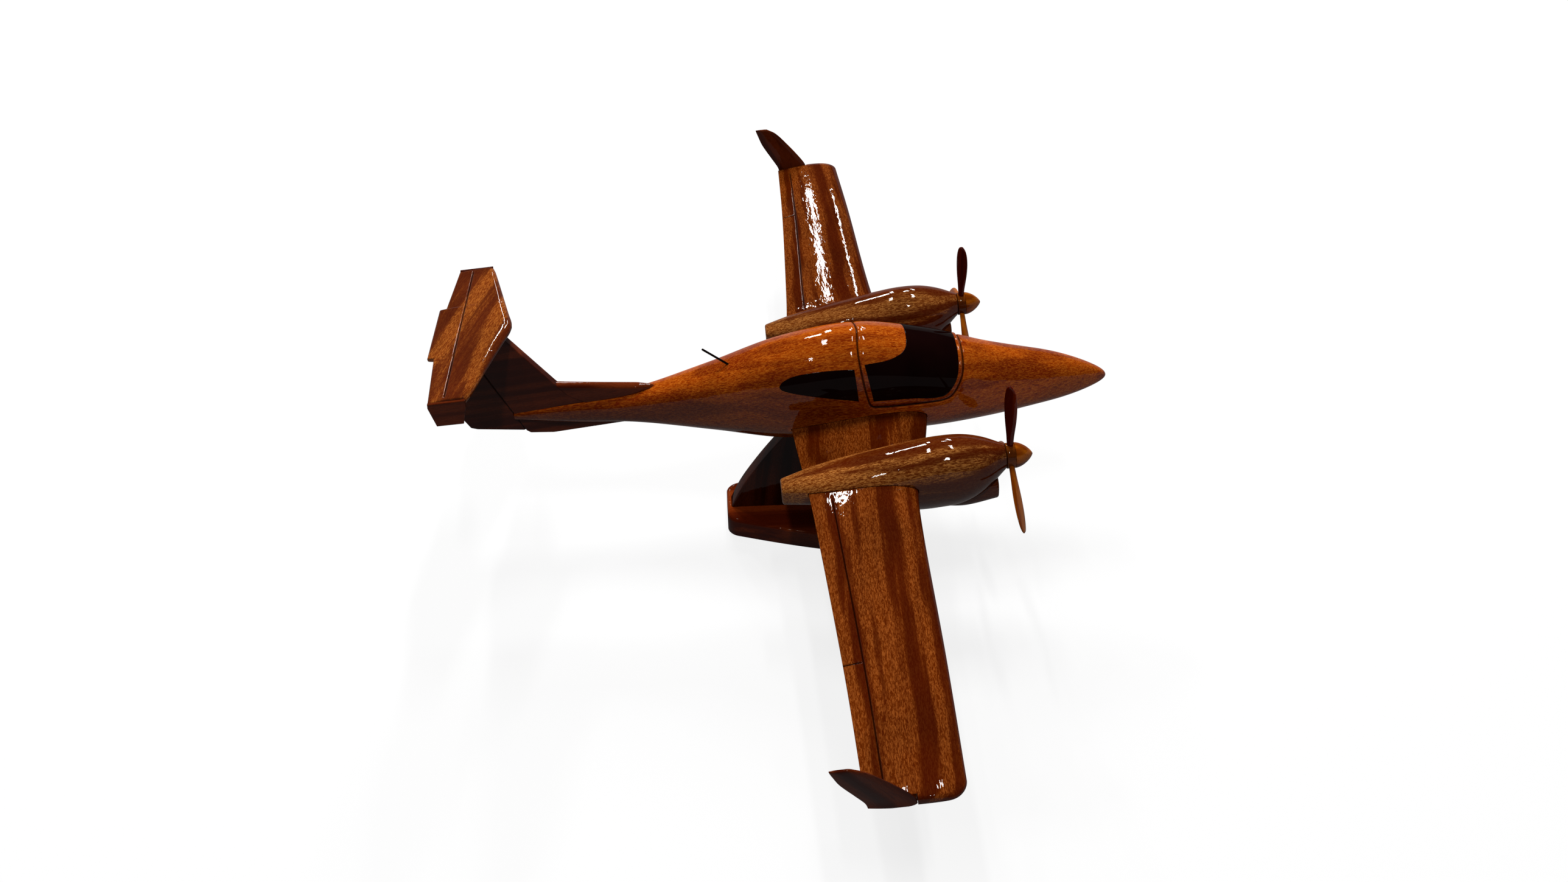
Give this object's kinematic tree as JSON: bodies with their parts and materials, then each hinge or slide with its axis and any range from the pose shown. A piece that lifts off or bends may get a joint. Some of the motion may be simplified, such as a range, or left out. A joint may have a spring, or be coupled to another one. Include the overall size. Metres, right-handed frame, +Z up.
{
  "type": "aeroplane display model on stand",
  "caption": "Lacquered mahogany desk model of a low-wing propeller aeroplane with T-tail and winglets; its propellers turn and it lifts off its wooden stand.",
  "frame": {"origin": "centre of the base board's underside", "axes": "+X to the nose, +Y to the port wing, +Z up; the aircraft sits nose up by 5 degrees"},
  "size_m": [0.2752, 0.423, 0.1059],
  "materials": {
    "fuselage_wood": "high gloss lacquered mahogany, orange brown, fine straight grain",
    "wing_wood": "high gloss lacquered mahogany, red brown with golden ribbon stripes",
    "dark_wood": "high gloss lacquered mahogany, dark brown",
    "propeller_wood": "gloss lacquered mahogany, light orange brown",
    "stand_wood": "gloss lacquered mahogany, dark red brown",
    "dowel_wood": "plain hardwood dowel",
    "black_gloss": "gloss black lacquer",
    "steel": "plain steel"
  },
  "bodies": {
    "stand": {"stand_base": "stand_wood", "stand_upright": "stand_wood", "front_base_screw": "steel", "rear_base_screw": "steel", "front_peg": "dowel_wood", "rear_peg": "dowel_wood"},
    "aircraft": {"fuselage": "fuselage_wood", "windscreen": "black_gloss", "port_rear_window": "black_gloss", "starboard_rear_window": "black_gloss", "front_wing_dowel": "dowel_wood", "rear_wing_dowel": "dowel_wood", "port_wing": "wing_wood", "starboard_wing": "wing_wood", "port_winglet": "dark_wood", "starboard_winglet": "dark_wood", "port_winglet_pin": "steel", "starboard_winglet_pin": "steel", "port_nacelle": "wing_wood", "starboard_nacelle": "wing_wood", "port_scoop": "wing_wood", "starboard_scoop": "wing_wood", "fin_board": "dark_wood", "dorsal_strip": "dark_wood", "tailplane": "wing_wood", "port_end_plate": "wing_wood", "starboard_end_plate": "wing_wood", "front_tail_dowel": "dowel_wood", "rear_tail_dowel": "dowel_wood", "antenna": "black_gloss"},
    "port_propeller": {"port_hub": "dark_wood", "port_spinner": "propeller_wood", "port_shaft": "steel", "port_blade_1": "propeller_wood", "port_blade_2": "propeller_wood", "port_blade_3": "propeller_wood"},
    "starboard_propeller": {"starboard_hub": "dark_wood", "starboard_spinner": "propeller_wood", "starboard_shaft": "steel", "starboard_blade_1": "propeller_wood", "starboard_blade_2": "propeller_wood", "starboard_blade_3": "propeller_wood"}
  },
  "joints": [
    {"name": "aircraft_lift", "type": "slide", "parent": "stand", "child": "aircraft", "axis": [0, 0, 1], "range_m": [0, 0.03]},
    {"name": "port_propeller_spin", "type": "hinge", "parent": "aircraft", "child": "port_propeller", "pos_m": [0.06693, 0.055, 0.07378], "axis": [0.9962, 0, 0.0872], "continuous": true},
    {"name": "starboard_propeller_spin", "type": "hinge", "parent": "aircraft", "child": "starboard_propeller", "pos_m": [0.06693, -0.055, 0.07378], "axis": [0.9962, 0, 0.0872], "continuous": true}
  ]
}
